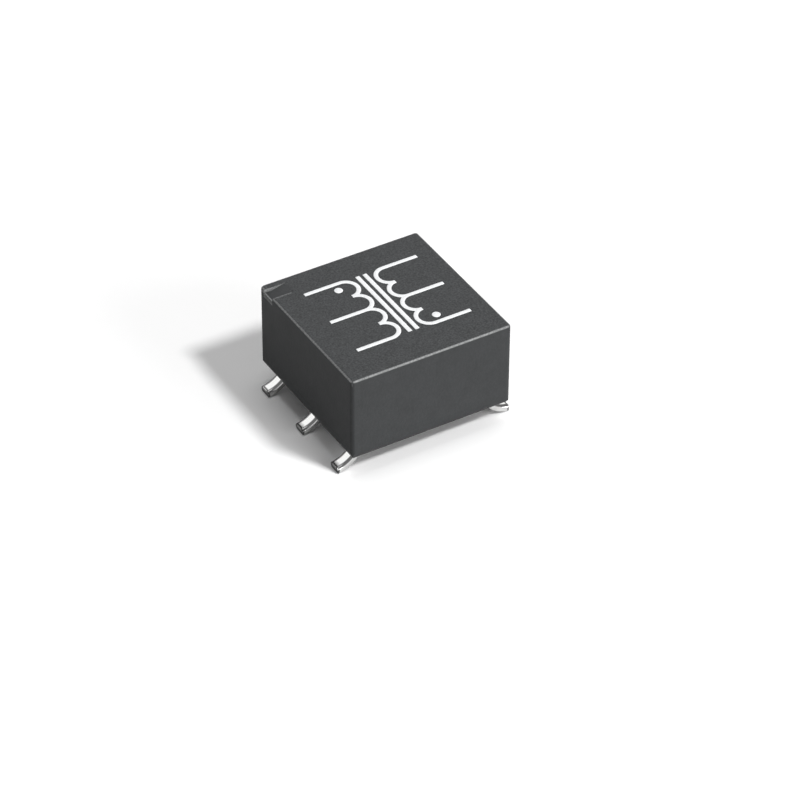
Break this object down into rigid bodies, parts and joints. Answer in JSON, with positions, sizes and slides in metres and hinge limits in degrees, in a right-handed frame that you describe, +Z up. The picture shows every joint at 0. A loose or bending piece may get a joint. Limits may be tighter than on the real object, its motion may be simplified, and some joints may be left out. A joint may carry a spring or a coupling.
{
  "type": "surface-mount transformer",
  "caption": "Small surface-mount signal transformer: a wound ferrite toroid on a header plate with formed gull-wing leads, in a dark moulded case.",
  "frame": {"origin": "centre of the footprint on the board plane, under the feet of the leads", "axes": "+Z up from the board, +X across the two rows of leads, +Y along the rows towards the end with lead 1"},
  "size_m": [0.0072, 0.0066, 0.0044],
  "materials": {
    "case_plastic": "dark grey moulded compound, fine matte grain",
    "base_plastic": "near-black moulded plastic",
    "seal_epoxy": "cured black epoxy",
    "lead_tin": "bright tin plating on a copper alloy strip",
    "core_ferrite": "dark sintered ferrite",
    "adhesive_resin": "cured amber adhesive",
    "primary_wire": "copper with clear enamel",
    "secondary_wire": "copper with red enamel",
    "solder_alloy": "bright solder",
    "marking_ink": "white printing ink, for a print on the top of the case"
  },
  "bodies": {
    "root": {"case": "case_plastic", "base": "base_plastic", "seal": "seal_epoxy", "core": "core_ferrite", "adhesive": "adhesive_resin", "primary_a": "primary_wire", "primary_b": "primary_wire", "secondary_a": "secondary_wire", "secondary_b": "secondary_wire", "lead_1": "lead_tin", "lead_2": "lead_tin", "lead_3": "lead_tin", "lead_4": "lead_tin", "lead_5": "lead_tin", "lead_6": "lead_tin", "solder_1": "solder_alloy", "solder_2": "solder_alloy", "solder_3": "solder_alloy", "solder_4": "solder_alloy", "solder_5": "solder_alloy", "solder_6": "solder_alloy"}
  },
  "joints": []
}
